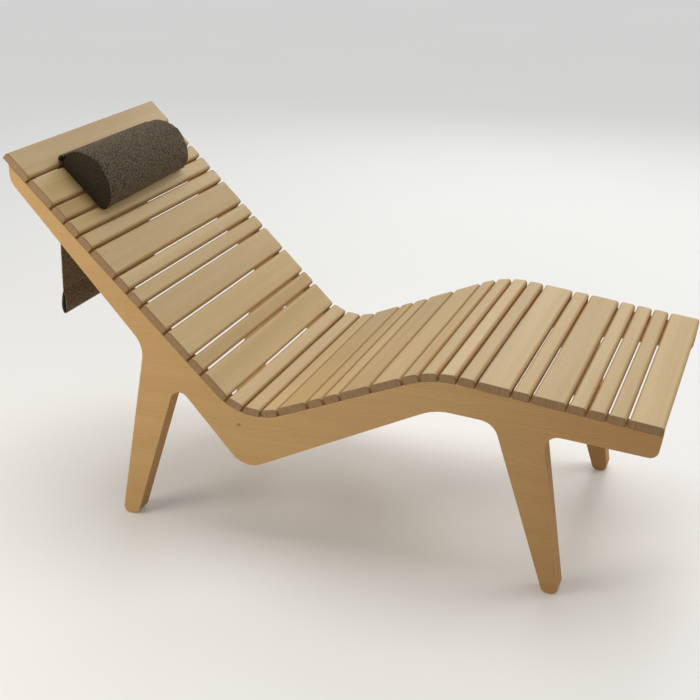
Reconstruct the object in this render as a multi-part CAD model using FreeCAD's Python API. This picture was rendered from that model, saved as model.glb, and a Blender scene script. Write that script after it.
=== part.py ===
import FreeCAD, Part
import math
import os

# Slatted relaxation lounger. Two side panels, each in one piece with its two legs, carry a bed of
# slats that runs down the back, round the hip, up the seat, over the knee and down the leg rest.
# A half-round headrest lies on the back. Its fabric strap goes through a gap between two slats and
# hangs behind, where a steel bar in its hem holds the headrest at the height that it is slid to.
# Millimetres. X runs from the head to the foot end, Y across the bed and Z up.
# The origin is on the floor, at the middle of the bed's length and width.

# Bed
bed_width = 700.0
slat_thickness = 19.0
slat_gap = 5.0
slat_top_radius = 8.0
slat_bottom_radius = 2.5
slat_end_arris = 1.8
back_wide_width = 77.9
back_narrow_width = 40.1
seat_wide_width = 73.8
seat_narrow_width = 37.9
# W is a wide slat and N a narrow one, from the head to the foot end
back_order = "WWNNNWNNWWNW"
hip_order = "NNN"
seat_order = "WNNWWNNNNWNWNNNW"

# Line of the panels' top edge, on which the slats lie
back_angle = 44.27
seat_angle = 22.51
leg_rest_angle = 6.38
hip_radius = 150.8
knee_radius = 250.3
seat_run = 326.8
# Height of the lowest point of that line above the floor
hip_height = 320.4
# How far the last slat of the back reaches into the curve of the hip
hip_lead = 24.0

# Side panels. A station runs along a straight of the top edge, a depth square to it.
panel_thickness = 48.0
panel_arris = 1.5
head_overhang = 20.4
nose_setback = 27.9
nose_depth = 28.6
nose_radius = 48.0
shoulder_station = 198.0
shoulder_depth = 61.6
shoulder_radius = 70.0
crotch_station = 84.0
crotch_depth = 65.0
crotch_radius = 25.0
hip_underside_drop = 142.5
hip_underside_setback = 35.2
hip_underside_radius = 62.0
knee_underside_station = 43.8
knee_underside_depth = 71.4
knee_underside_radius = 130.0
foot_leg_front_station = 85.5
foot_leg_front_depth = 67.7
foot_leg_front_radius = 46.0
foot_leg_back_station = 195.4
foot_leg_back_depth = 64.4
foot_leg_back_radius = 30.0
end_depth = 55.1
end_radius = 20.0
# Feet, measured along the floor from the lowest point of the hip
head_foot_reach = 352.6
head_foot_length = 41.1
head_foot_radius = 20.0
foot_foot_reach = 710.1
foot_foot_length = 37.6
foot_foot_radius = 19.0

# Dowels that join slats and panels
dowel_radius = 4.0
dowel_in_slat = 11.0
dowel_in_panel = 15.0
dowel_chamfer = 0.8
# Distance of a wide slat's dowels from its long edges, and the least wood beside a hole
dowel_inset = 18.0
dowel_wall = 4.3
glue_film = 0.1
glue_room = 0.5

# Headrest
pillow_length = 430.0
pillow_width = 162.0
pillow_height = 89.0
# How far its upper side reaches over the middle of the gap that its strap goes through
pillow_overhang = 9.15
cover_thickness = 2.2
foam_clearance = 0.3

# Strap as wide as the headrest, flap that hangs from it and flares, and hem pocket at its foot.
# Strap and flap are two layers of fabric, and the pocket lies between the layers.
layer_thickness = 2.0
fabric_clearance = 0.3
strap_bulge_radius = 7.0
# How far the headrest swells past the seam that the strap starts from
seam_swell = 1.6
flap_length = 298.0
pocket_height = 62.0
pocket_width = 16.0
pocket_flare = 28.0

# Counterweight bar
bar_end_room = 9.0
bar_height = 34.0
bar_thickness = 5.0
bar_clearance = 0.3
bar_arris = 1.0

# One overrun for every cut
overrun = 5.0

# Headrest section as shares of its width and height, the middle of the base being the zero
base_back_share = (-0.42, 0.0)
corner_back_share = (-0.47, 0.065)
side_back_share = (-0.5, 0.22)
crown_back_share = (-0.379, 0.78)
peak_share = (-0.086, 1.0)
crown_front_share = (0.281, 0.775)
side_front_share = (0.5, 0.19)
corner_front_share = (0.488, 0.06)
base_front_share = (0.43, 0.0)
# Place along the headrest as a share of its length, and the section's width and height there
pillow_crown_shares = [
    (-0.5, 0.935, 0.87), (-0.487, 0.97, 0.93), (-0.46, 0.985, 0.955), (-0.25, 1.0, 0.985),
    (0.0, 1.0, 1.0),
    (0.25, 1.0, 0.985), (0.46, 0.985, 0.955), (0.487, 0.97, 0.93), (0.5, 0.935, 0.87),
]
# Hem pocket section as shares of half its width and of its height
pocket_upper_share = (0.8, 0.62)
pocket_widest_share = (1.0, 0.3)
pocket_lower_share = (0.8, 0.14)


def point(x, z, y=0.0):
    return FreeCAD.Vector(x, y, z)


def heading(degrees):
    """Unit vector along the bed's line where it stands at this angle."""
    angle = math.radians(degrees)
    return point(math.cos(angle), math.sin(angle))


def square(degrees):
    """Unit vector square to the bed's line, towards the person on it."""
    angle = math.radians(degrees)
    return point(-math.sin(angle), math.cos(angle))


across = FreeCAD.Vector(0, 1, 0)

# Top edge of the panels, with the lowest point of the hip at x = 0 until everything is placed
hip_centre = point(0, hip_height + hip_radius)
back_foot = hip_centre - square(-back_angle) * hip_radius
seat_start = hip_centre - square(seat_angle) * hip_radius
knee_start = seat_start + heading(seat_angle) * seat_run
knee_centre = knee_start - square(seat_angle) * knee_radius
leg_rest_start = knee_centre + square(-leg_rest_angle) * knee_radius

# The same line at half the slats' thickness, along which the slats are spaced
half_slat = slat_thickness / 2
hip_arc = math.radians(back_angle + seat_angle) * (hip_radius - half_slat)
knee_arc = math.radians(seat_angle + leg_rest_angle) * (knee_radius + half_slat)


def bed_frame(station):
    """Point on the top edge and angle of the bed, at a station counted from the hip's start."""
    if station <= 0:
        return back_foot + heading(-back_angle) * station, -back_angle
    if station <= hip_arc:
        angle = -back_angle + math.degrees(station / (hip_radius - half_slat))
        return hip_centre - square(angle) * hip_radius, angle
    station -= hip_arc
    if station <= seat_run:
        return seat_start + heading(seat_angle) * station, seat_angle
    station -= seat_run
    if station <= knee_arc:
        angle = seat_angle - math.degrees(station / (knee_radius + half_slat))
        return knee_centre + square(angle) * knee_radius, angle
    station -= knee_arc
    return leg_rest_start + heading(-leg_rest_angle) * station, -leg_rest_angle


def slat_row():
    """Start station and width of each slat, from the head to the foot end."""
    widths = {"W": back_wide_width, "N": back_narrow_width}
    row = [widths[kind] for kind in back_order]
    start = hip_lead - sum(row) - slat_gap * (len(row) - 1)
    row += [widths[kind] for kind in hip_order]
    widths = {"W": seat_wide_width, "N": seat_narrow_width}
    row += [widths[kind] for kind in seat_order]
    stations = []
    for width in row:
        stations.append((start, width))
        start += width + slat_gap
    return stations


slats = slat_row()
bed_start = slats[0][0]
bed_end = slats[-1][0] + slats[-1][1]


def arc(first, middle, last):
    return Part.Arc(first, middle, last).toShape()


def line(first, last):
    return Part.makeLine(first, last)


def bed_edges(first_station, last_station):
    """Edges of the panels' top edge between two stations, one on the back and one on the leg rest."""
    hip_low = point(0, hip_height)
    knee_middle = knee_centre + square((seat_angle - leg_rest_angle) / 2) * knee_radius
    return [
        line(bed_frame(first_station)[0], back_foot),
        arc(back_foot, hip_low, seat_start),
        line(seat_start, knee_start),
        arc(knee_start, knee_middle, leg_rest_start),
        line(leg_rest_start, bed_frame(last_station)[0]),
    ]


def rounded_edges(corners):
    """Lines through the corners, each corner rounded by its radius as far as its sides allow."""
    edges = []
    last = corners[0][0]
    for number in range(1, len(corners) - 1):
        corner, radius = corners[number]
        before = corners[number - 1][0] - corner
        after = corners[number + 1][0] - corner
        half_turn = before.getAngle(after) / 2
        room = min(before.Length, after.Length) / 2
        setback = min(radius / math.tan(half_turn), room)
        radius = setback * math.tan(half_turn)
        before.normalize()
        after.normalize()
        bisector = before + after
        bisector.normalize()
        first = corner + before * setback
        middle = corner + bisector * (radius / math.sin(half_turn) - radius)
        edges.append(line(last, first))
        last = corner + after * setback
        edges.append(arc(first, middle, last))
    edges.append(line(last, corners[-1][0]))
    return edges


def under(start, degrees, station, depth):
    """Point at a station along a straight of the top edge and a depth below it."""
    return start + heading(degrees) * station - square(degrees) * depth


def panel_face():
    """Outline of a side panel with its two legs, in the plane y = 0."""
    panel_start = bed_start + head_overhang
    head_foot_left = -head_foot_reach - head_foot_length / 2
    foot_foot_left = foot_foot_reach - foot_foot_length / 2
    end = bed_frame(bed_end)[0]
    corners = [
        (bed_frame(panel_start)[0], 0),
        (under(back_foot, -back_angle, panel_start + nose_setback, nose_depth), nose_radius),
        (under(back_foot, -back_angle, -shoulder_station, shoulder_depth), shoulder_radius),
        (point(head_foot_left, 0), head_foot_radius),
        (point(head_foot_left + head_foot_length, 0), head_foot_radius),
        (under(back_foot, -back_angle, -crotch_station, crotch_depth), crotch_radius),
        (point(-hip_underside_setback, hip_height - hip_underside_drop), hip_underside_radius),
        (under(knee_start, seat_angle, knee_underside_station, knee_underside_depth),
         knee_underside_radius),
        (under(leg_rest_start, -leg_rest_angle, foot_leg_front_station, foot_leg_front_depth),
         foot_leg_front_radius),
        (point(foot_foot_left, 0), foot_foot_radius),
        (point(foot_foot_left + foot_foot_length, 0), foot_foot_radius),
        (under(leg_rest_start, -leg_rest_angle, foot_leg_back_station, foot_leg_back_depth),
         foot_leg_back_radius),
        (under(end, -leg_rest_angle, 0, end_depth), end_radius),
        (end, 0),
    ]
    edges = rounded_edges(corners) + bed_edges(panel_start, bed_end)
    return Part.Face(Part.Wire(Part.__sortEdges__(edges)))


def is_flat_in_y(edge):
    return edge.BoundBox.YLength < glue_film


def make_panel(outer_y, inward):
    """Side panel whose outer face is at outer_y, with its long edges eased."""
    face = panel_face()
    face.translate(across * outer_y)
    panel = face.extrude(across * (panel_thickness * inward))
    rims = [edge for edge in panel.Edges if is_flat_in_y(edge)]
    return panel.makeFillet(panel_arris, rims)


def bed_block():
    """Everything that lies under the panels' top edge, over the whole width, to fit the slats to."""
    ends = (bed_start - overrun, bed_end + overrun)
    edges = bed_edges(ends[0], ends[1])
    low_head = point(bed_frame(ends[0])[0].x, 0)
    low_foot = point(bed_frame(ends[1])[0].x, 0)
    edges.append(line(bed_frame(ends[1])[0], low_foot))
    edges.append(line(low_foot, low_head))
    edges.append(line(low_head, bed_frame(ends[0])[0]))
    face = Part.Face(Part.Wire(Part.__sortEdges__(edges)))
    face.translate(across * (-bed_width / 2 - overrun))
    return face.extrude(across * (bed_width + overrun * 2))


def slat_frame(start, width):
    """Middle of a slat at half its thickness, with its directions along and square to the bed."""
    seat, angle = bed_frame(start + width / 2)
    return seat + square(angle) * half_slat, heading(angle), square(angle)


def make_slat(start, width, block):
    """Slat with rounded long edges. Its underside follows the panels, straight or curved."""
    middle, along, up = slat_frame(start, width)
    side = along * (width / 2)
    top = up * half_slat
    bottom = up * (half_slat + slat_bottom_radius)
    corners = [middle - side - bottom, middle + side - bottom, middle + side + top,
               middle - side + top]
    outline = Part.makePolygon(corners + corners[:1])
    face = Part.Face(outline)
    face.translate(across * (-bed_width / 2))
    slat = face.extrude(across * bed_width).cut(block)
    upper = []
    lower = []
    for edge in slat.Edges:
        place = edge.CenterOfMass - middle
        at_side = abs(abs(place.dot(along)) - width / 2) < glue_film
        if is_flat_in_y(edge) or not at_side:
            continue
        if place.dot(up) > 0:
            upper.append(edge)
        else:
            lower.append(edge)
    slat = slat.makeFillet(slat_top_radius, upper)
    lower_places = [edge.CenterOfMass for edge in lower]
    lower = [edge for edge in slat.Edges if not is_flat_in_y(edge) and
             min((edge.CenterOfMass - place).Length for place in lower_places) < glue_film]
    slat = slat.makeFillet(slat_bottom_radius, lower)
    rims = [edge for edge in slat.Edges if is_flat_in_y(edge)]
    return slat.makeFillet(slat_end_arris, rims)


def dowel_places(start, width):
    """Places of a slat's dowels across its width. The first slat overhangs the panels' plumb end."""
    if width in (back_narrow_width, seat_narrow_width):
        return [width / 2]
    if start > bed_start:
        return [dowel_inset, width - dowel_inset]
    edge = dowel_radius + dowel_wall
    plumb_end = (dowel_in_panel + glue_room) * math.tan(math.radians(back_angle))
    return [head_overhang + plumb_end + edge, width - edge]


def dowel_seats(start, width, y):
    """Seat point and direction of each dowel of one slat in the panel at y."""
    middle, along, up = slat_frame(start, width)
    seat = middle - up * half_slat - along * (width / 2) + across * y
    return [(seat + along * place, up) for place in dowel_places(start, width)]


def make_dowel(seat, up):
    dowel = Part.makeCylinder(dowel_radius, dowel_in_slat + dowel_in_panel,
                              seat - up * dowel_in_panel, up)
    rims = [edge for edge in dowel.Edges if len(edge.Vertexes) == 1]
    return dowel.makeChamfer(dowel_chamfer, rims)


def make_dowel_hole(seat, up):
    return Part.makeCylinder(dowel_radius + glue_film, dowel_in_slat + dowel_in_panel + glue_room * 2,
                             seat - up * (dowel_in_panel + glue_room), up)


# The back's top face, on which the headrest lies, starts at the head end of the first slat
back_along = heading(-back_angle)
back_up = square(-back_angle)
back_top = bed_frame(bed_start)[0] + back_up * slat_thickness
second_slat = back_wide_width + slat_gap
pillow_middle = back_wide_width + slat_gap / 2 - pillow_overhang + pillow_width / 2


def on_back(along, up, y=0.0):
    """Point on the back, along it from the head end and up from the slats' top face."""
    return back_top + back_along * along + back_up * up + across * y


def pillow_section(place_y, width, height, lift):
    """Half-round section with a flat base, a crown that leans to the head and rounded corners."""
    def at(share):
        return on_back(pillow_middle + width * share[0], lift + height * share[1], place_y)

    edges = [
        line(at(base_back_share), at(base_front_share)),
        arc(at(base_front_share), at(corner_front_share), at(side_front_share)),
        arc(at(side_front_share), at(crown_front_share), at(peak_share)),
        arc(at(peak_share), at(crown_back_share), at(side_back_share)),
        arc(at(side_back_share), at(corner_back_share), at(base_back_share)),
    ]
    return Part.Wire(edges)


def pillow_solid(inset):
    """Headrest drawn in by an inset on every side, fullest in the middle of its length."""
    length = pillow_length - inset * 2
    width = pillow_width - inset * 2
    height = pillow_height - inset * 2
    sections = [pillow_section(length * place, width * wide, height * high, fabric_clearance + inset)
                for place, wide, high in pillow_crown_shares]
    return Part.makeLoft(sections, True, True)


# The strap starts at the headrest's upper long seam and ends where it turns round the second slat
strap_thickness = layer_thickness * 2
pocket_length = pillow_length + pocket_flare
strap_along = pillow_middle + pillow_width * side_back_share[0] - fabric_clearance - seam_swell
strap_height = pillow_height * side_back_share[1] + fabric_clearance
wall_along = second_slat - fabric_clearance - strap_thickness / 2
swing_radius = (wall_along - strap_along + strap_bulge_radius) / 2
wrap_radius = slat_bottom_radius + fabric_clearance + strap_thickness / 2
forward = point(1, 0)


def strap_side(offset):
    """Edges of one face of the strap, at an offset to the side that its first bend turns to."""
    bulge = strap_bulge_radius - offset
    swing = swing_radius - offset
    dip = swing_radius + offset
    wrap = wrap_radius - offset
    bulge_centre = on_back(strap_along, strap_height - strap_bulge_radius)
    swing_centre = bulge_centre + back_along * (swing_radius - strap_bulge_radius)
    dip_centre = swing_centre - back_up * (swing_radius * 2)
    wrap_centre = on_back(second_slat + slat_bottom_radius, slat_bottom_radius - slat_thickness)
    outward = back_up - back_along
    outward.normalize()
    inward = back_up + back_along
    inward.normalize()
    leaning = back_along + forward
    leaning.normalize()
    start = bulge_centre + back_up * bulge
    side = bulge_centre - back_along * bulge
    low = swing_centre - back_up * swing
    mouth = dip_centre + back_along * dip
    wall = wrap_centre - back_along * wrap
    end = wrap_centre - forward * wrap
    edges = [
        arc(start, bulge_centre + outward * bulge, side),
        arc(side, swing_centre - inward * swing, low),
        arc(low, dip_centre + inward * dip, mouth),
        line(mouth, wall),
        arc(wall, wrap_centre - leaning * wrap, end),
    ]
    return edges, start, end


def make_strap():
    """Strap from the headrest's seam, through the gap below the first slat, to behind the back."""
    inner, inner_start, inner_end = strap_side(strap_thickness / 2)
    outer, outer_start, outer_end = strap_side(-strap_thickness / 2)
    edges = inner + outer + [line(inner_start, outer_start), line(inner_end, outer_end)]
    face = Part.Face(Part.Wire(Part.__sortEdges__(edges)))
    face.translate(across * (-pillow_length / 2))
    return face.extrude(across * pillow_length)


def hang_point():
    """Middle of the strap's thickness at the point where it starts to hang straight down."""
    return strap_side(0)[2]


def make_flap():
    """Hanging part of the strap, which widens from the gap down to the pocket."""
    top = hang_point() - point(strap_thickness / 2, 0)
    bottom = top - point(0, flap_length)
    top_side = across * (pillow_length / 2)
    bottom_side = across * (pocket_length / 2)
    corners = [top - top_side, top + top_side, bottom + bottom_side, bottom - bottom_side]
    face = Part.Face(Part.makePolygon(corners + corners[:1]))
    return face.extrude(point(strap_thickness, 0))


# The pocket's lowest fold is as tight as the bar that stands in it
heel_radius = bar_thickness / 2 + bar_clearance


def pocket_wire(height, half_width, foot, heel):
    """Drop-shaped loop of the hem, with a round heel at its lowest point."""
    def at(side, share):
        return point(foot.x + half_width * share[0] * side, foot.z + height * share[1])

    top = foot + point(0, height)
    heel_centre = foot + point(0, heel)
    edges = []
    for side in (-1, 1):
        widest = at(side, pocket_widest_share)
        low = heel_centre + point(heel * side, 0)
        turn = point(side, -1)
        turn.normalize()
        edges.append(arc(top, at(side, pocket_upper_share), widest))
        edges.append(arc(widest, at(side, pocket_lower_share), low))
        edges.append(arc(low, heel_centre + turn * heel, foot))
    return Part.Wire(Part.__sortEdges__(edges))


def pocket_foot():
    return hang_point() - point(0, flap_length + pocket_height)


def make_pocket():
    """Hem of the flap, sewn to a loop that is open at both ends."""
    foot = pocket_foot()
    outer = Part.Face(pocket_wire(pocket_height, pocket_width / 2, foot,
                                  heel_radius + layer_thickness))
    inner = Part.Face(pocket_wire(pocket_height - layer_thickness * 2,
                                  pocket_width / 2 - layer_thickness,
                                  foot + point(0, layer_thickness), heel_radius))
    inner.translate(across * -overrun)
    outer = outer.extrude(across * pocket_length)
    pocket = outer.cut(inner.extrude(across * (pocket_length + overrun * 2)))
    pocket.translate(across * (-pocket_length / 2))
    return pocket


def make_bar():
    """Flat steel bar standing on edge in the pocket."""
    foot = pocket_foot() + point(0, layer_thickness + heel_radius)
    bar_length = pocket_length - bar_end_room * 2
    corner = foot - point(bar_thickness / 2, 0, bar_length / 2)
    bar = Part.makeBox(bar_thickness, bar_length, bar_height, corner)
    return bar.makeFillet(bar_arris, bar.Edges)


def build():
    """Every piece by name, each a solid or a group of separate solids."""
    pieces = {}
    block = bed_block()
    panel_y = bed_width / 2 - panel_thickness / 2
    sides = (("near", -1), ("far", 1))
    seats = {}
    for side, sign in sides:
        seats[side] = []
        for start, width in slats:
            seats[side] += dowel_seats(start, width, panel_y * sign)
        holes = [make_dowel_hole(seat, up) for seat, up in seats[side]]
        panel = make_panel(bed_width / 2 * sign, -sign)
        pieces["side_panel_" + side] = panel.cut(Part.makeCompound(holes))
        dowels = [make_dowel(seat, up) for seat, up in seats[side]]
        pieces["slat_dowels_" + side] = Part.makeCompound(dowels)
    for number, (start, width) in enumerate(slats, 1):
        slat = make_slat(start, width, block)
        holes = []
        for side, sign in sides:
            holes += [make_dowel_hole(seat, up)
                      for seat, up in dowel_seats(start, width, panel_y * sign)]
        pieces["slat_%02d" % number] = slat.cut(Part.makeCompound(holes))
    pieces["headrest_cover"] = pillow_solid(0).cut(pillow_solid(cover_thickness))
    pieces["headrest_foam"] = pillow_solid(cover_thickness + foam_clearance)
    pieces["headrest_strap"] = make_strap()
    pieces["counterweight_flap"] = make_flap()
    pieces["counterweight_pocket"] = make_pocket()
    pieces["counterweight_bar"] = make_bar()
    return pieces


def place(pieces):
    """Moves the whole lounger so that the origin is under the middle of its length."""
    low = min(shape.BoundBox.XMin for shape in pieces.values())
    high = max(shape.BoundBox.XMax for shape in pieces.values())
    for shape in pieces.values():
        shape.translate(point(-(low + high) / 2, 0))
    return (low + high) / 2


os.makedirs("parts", exist_ok=True)
lounger = build()
middle = place(lounger)
for name, shape in lounger.items():
    shape.exportStep("parts/" + name + ".step")
print("pieces", len(lounger), "hip lies at x =", round(-middle, 2))
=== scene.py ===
import math

import bpy
import numpy as np
from mathutils import Matrix, Vector, noise

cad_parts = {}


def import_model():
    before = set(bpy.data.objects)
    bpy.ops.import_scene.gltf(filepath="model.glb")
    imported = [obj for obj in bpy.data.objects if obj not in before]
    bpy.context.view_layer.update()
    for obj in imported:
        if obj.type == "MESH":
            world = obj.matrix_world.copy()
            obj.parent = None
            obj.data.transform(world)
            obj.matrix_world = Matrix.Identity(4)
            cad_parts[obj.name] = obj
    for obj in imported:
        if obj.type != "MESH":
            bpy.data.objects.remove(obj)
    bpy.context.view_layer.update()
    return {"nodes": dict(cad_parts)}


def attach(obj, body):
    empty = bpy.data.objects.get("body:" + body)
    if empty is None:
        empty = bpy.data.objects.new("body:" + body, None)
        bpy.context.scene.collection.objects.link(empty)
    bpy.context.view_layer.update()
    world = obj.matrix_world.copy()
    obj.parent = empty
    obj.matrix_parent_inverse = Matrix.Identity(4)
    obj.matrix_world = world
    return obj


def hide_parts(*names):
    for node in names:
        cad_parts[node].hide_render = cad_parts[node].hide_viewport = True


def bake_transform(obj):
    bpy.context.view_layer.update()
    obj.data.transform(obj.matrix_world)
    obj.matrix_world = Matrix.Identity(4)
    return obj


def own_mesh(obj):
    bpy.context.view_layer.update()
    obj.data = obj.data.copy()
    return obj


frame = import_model()
nodes = frame["nodes"]
scene = bpy.context.scene

# Measures in metres, as the part's source has them

# Frame of the back: down along its face, out of it, and across the bed
BACK_ANGLE = math.radians(44.27)
ALONG = np.array([math.cos(BACK_ANGLE), 0.0, -math.sin(BACK_ANGLE)])
UP = np.array([math.sin(BACK_ANGLE), 0.0, math.cos(BACK_ANGLE)])
ACROSS = np.array([0.0, 1.0, 0.0])
# Head end of the first slat's top face
BACK_TOP = np.array([-0.76500, 0.0, 0.89267])
HALF_BED = 0.35
PANEL_THICKNESS = 0.048
SLAT_COUNT = 31
SLAT_THICKNESS = 0.019
# How far down the back the second slat starts, and the radius of its lower edge
SECOND_SLAT = 0.0829
SLAT_BOTTOM_RADIUS = 0.0025

PILLOW_LENGTH = 0.430
PILLOW_WIDTH = 0.162
PILLOW_HEIGHT = 0.089
PILLOW_MIDDLE = 0.15225
FABRIC_CLEARANCE = 0.0003
# The headrest's section, in shares of its width and height
SECTION_BASE_SHARES = [(-0.42, 0.0), (0.43, 0.0)]
SECTION_ARC_SHARES = [
    [(0.43, 0.0), (0.488, 0.06), (0.5, 0.19)],
    [(0.5, 0.19), (0.281, 0.775), (-0.086, 1.0)],
    [(-0.086, 1.0), (-0.379, 0.78), (-0.5, 0.22)],
    [(-0.5, 0.22), (-0.47, 0.065), (-0.42, 0.0)],
]

STRAP_THICKNESS = 0.004
# Where the strap leaves the headrest's seam, along the back and out of it
STRAP_SEAM = np.array([0.06935, 0.01988])
STRAP_BULGE = 0.007
# Where along the back the strap's middle lies in the gap, and the radius of its bend round slat 2
STRAP_WALL = 0.0806
WRAP_RADIUS = 0.0048
FLAP_LENGTH = 0.298
POCKET_HEIGHT = 0.062
POCKET_HALF_WIDTH = 0.008
POCKET_LENGTH = 0.458
HEEL_RADIUS = 0.0028
LAYER = 0.002


def on_back(along, up, y=0.0):
    """Point in the scene for a place along the back, out of it and across the bed."""
    return BACK_TOP + ALONG * along + UP * up + ACROSS * y


# Materials

# Colours as sRGB numbers; a pair is the light and the dark tone
SLAT_LIGHT = (0xD2B581, 0xC9AB76)
SLAT_DARK = (0xC0A06A, 0xB6955F)
# Painted shade on the slats' rounded long edges
SLAT_ROUNDING_SHADE = 0xA3804F
# Painted bounce light: warm tint on the slats' walls that face the gaps
SLAT_WALL_BOUNCE_LIGHT = 0xC08646
END_GRAIN = (0xA5845A, 0x876641)
# Painted shade: dark rim on the rounded arrises round the slats' end grain
END_RIM_SHADE = 0x6E4F2C
WOOD_FLECK = 0x8A6238
PANEL_FACE = (0xD8B075, 0xBF9359)
PANEL_EDGE = (0xD9AE74, 0xBB8A52)
# Painted highlight on the arrises round the panels' outer faces
PANEL_ARRIS_HIGHLIGHT = 0xF0CE98
# Painted shade towards the panels' foot end, partly a browner tone of the wood
PANEL_FOOT_END_TONE_AND_SHADE = 0xEFE2D2
GLUE_LINE = 0x8A5E33
KNOT_HEART = 0x84592F
DOWEL_WOOD = (0xDCC095, 0xBC9A6B)
BAR_STEEL = (0x9B9C9E, 0x7E7F82)
COVER_YARN = (0x7F6F59, 0x3B3328)
# Darker copy of the cover's yarn for its end caps: painted shade
COVER_END_SHADED_YARN = (0x463D30, 0x352E24)
# Lighter copy of the cover's yarn for the flap and hem: painted light
FLAP_YARN_PAINTED_LIGHT = (0x9A8973, 0x625443)
YARN_SHEEN = 0xB8A88E
FLOOR_STONE = (0xEAE9E5, 0xE4E3DF)
FLOOR_GLOW = 0xEDEDEA


def srgb(code):
    """Linear colour of a six-digit sRGB number."""
    parts = [(code >> shift & 255) / 255 for shift in (16, 8, 0)]
    linear = [c / 12.92 if c < 0.04045 else ((c + 0.055) / 1.055) ** 2.4 for c in parts]
    return (*linear, 1.0)


def between(codes, share):
    """Linear colour between those of two sRGB numbers."""
    return tuple(Vector(srgb(codes[0])).lerp(Vector(srgb(codes[1])), share))


class Graph:
    """One material and the nodes that make it."""

    def __init__(self, name, roughness=0.5):
        self.material = bpy.data.materials.new(name)
        self.material.use_nodes = True
        self.tree = self.material.node_tree
        self.shader = self.tree.nodes["Principled BSDF"]
        self.shader.inputs["Roughness"].default_value = roughness

    def put(self, socket, value):
        if isinstance(value, bpy.types.NodeSocket):
            self.tree.links.new(value, socket)
        else:
            socket.default_value = value

    def node(self, kind, out=0, settings=None, **inputs):
        made = self.tree.nodes.new("ShaderNode" + kind)
        for name, value in (settings or {}).items():
            setattr(made, name, value)
        for name, value in inputs.items():
            self.put(made.inputs[name], value)
        return made.outputs[out]

    def place(self):
        return self.node("TexCoord", "Object")

    def map(self, vector, scale=(1, 1, 1), turn=(0, 0, 0), move=(0, 0, 0)):
        return self.node("Mapping", Vector=vector, Scale=scale, Rotation=turn, Location=move)

    def noise(self, vector, scale, detail=2.0, roughness=0.5, distortion=0.0):
        return self.node("TexNoise", Vector=vector, Scale=scale, Detail=detail,
                         Roughness=roughness, Distortion=distortion)

    def math(self, operation, *values):
        made = self.tree.nodes.new("ShaderNodeMath")
        made.operation = operation
        for socket, value in zip(made.inputs, values):
            self.put(socket, value)
        return made.outputs[0]

    def range(self, value, low, high, to_low=0.0, to_high=1.0):
        made = self.tree.nodes.new("ShaderNodeMapRange")
        made.interpolation_type = "SMOOTHSTEP"
        for name, entry in (("Value", value), ("From Min", low), ("From Max", high),
                            ("To Min", to_low), ("To Max", to_high)):
            self.put(made.inputs[name], entry)
        return made.outputs[0]

    def mix(self, share, first, second, blend="MIX"):
        made = self.tree.nodes.new("ShaderNodeMix")
        made.data_type = "RGBA"
        made.blend_type = blend
        # A colour mix has its factor and its two colours at these places
        for index, value in ((0, share), (6, first), (7, second)):
            self.put(made.inputs[index], value)
        return made.outputs[2]

    def axes(self, vector):
        made = self.tree.nodes.new("ShaderNodeSeparateXYZ")
        self.put(made.inputs[0], vector)
        return made.outputs

    def vector(self, *values):
        made = self.tree.nodes.new("ShaderNodeCombineXYZ")
        for socket, value in zip(made.inputs, values):
            self.put(socket, value)
        return made.outputs[0]

    def bump(self, height, strength, distance):
        return self.node("Bump", Height=height, Strength=strength, Distance=distance)

    def finish(self, **inputs):
        for name, value in inputs.items():
            self.put(self.shader.inputs[name.replace("_", " ")], value)
        return self.material


# Wood, whose grain is drawn out lengthwise by these factors
STREAK_STRETCH = (1, 0.035, 1)
DRIFT_STRETCH = (1, 0.16, 1)
DASH_STRETCH = (1, 0.14, 1)
# How far the pattern moves from one seed to the next
SEED_MOVES = (0.371, 1.713, 0.537)
DRIFT = 0.05
RINGS_PER_METRE = 420
RINGS_SHARE = 0.55
FIBRE_SHARE = 0.35
FLECKS_SHARE = 0.22
FLECKS_BAND = (0.64, 0.74)
FIBRE_BAND = (0.2, 0.8)
# Middle of the tones without patches, and half their range
TONE_MIDDLE = 0.425
TONE_HALF_RANGE = 0.35
# Relief of the rings and flecks in shares of the fibre's, and its depth
RELIEF_SHARE = 0.5
WOOD_RELIEF = 0.00012
FINE_RELIEF = 0.0001


def grain(graph, vector, seed, light, dark, patches=0.75):
    """Colour, height and fibre of planed beech. The vector runs across the grain, along it and in
    depth. Patches is the weight of the broad changes of tone."""
    moved = graph.map(vector, move=tuple(seed * move for move in SEED_MOVES))
    streaked = graph.map(moved, scale=STREAK_STRETCH)
    broad = graph.noise(streaked, scale=26, distortion=0.3)
    across, _, depth = graph.axes(moved)
    drift = graph.noise(graph.map(moved, scale=DRIFT_STRETCH), scale=8, detail=1)
    wavy = graph.math("ADD", across, graph.math("MULTIPLY", drift, DRIFT))
    reach = graph.math("ADD", graph.math("ABSOLUTE", wavy), depth)
    rings = graph.node("TexNoise", settings={"noise_dimensions": "1D"}, Scale=1.0, Detail=2.0,
                       W=graph.math("MULTIPLY", reach, RINGS_PER_METRE))
    fibre = graph.noise(streaked, scale=1300, roughness=0.6)
    dashes = graph.noise(graph.map(moved, scale=DASH_STRETCH), scale=850, detail=1)
    flecks = graph.range(dashes, *FLECKS_BAND)
    share = graph.math("MULTIPLY_ADD", broad, patches, graph.math("MULTIPLY", rings, RINGS_SHARE))
    share = graph.math("MULTIPLY_ADD", fibre, FIBRE_SHARE, share)
    middle = TONE_MIDDLE + patches / 2
    share = graph.range(share, middle - TONE_HALF_RANGE, middle + TONE_HALF_RANGE)
    colour = graph.mix(share, light, dark)
    colour = graph.mix(graph.math("MULTIPLY", flecks, FLECKS_SHARE), colour, srgb(WOOD_FLECK))
    height = graph.math("MULTIPLY_ADD", rings, RELIEF_SHARE, fibre)
    height = graph.math("SUBTRACT", height, graph.math("MULTIPLY", flecks, RELIEF_SHARE))
    return colour, height, fibre


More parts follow.
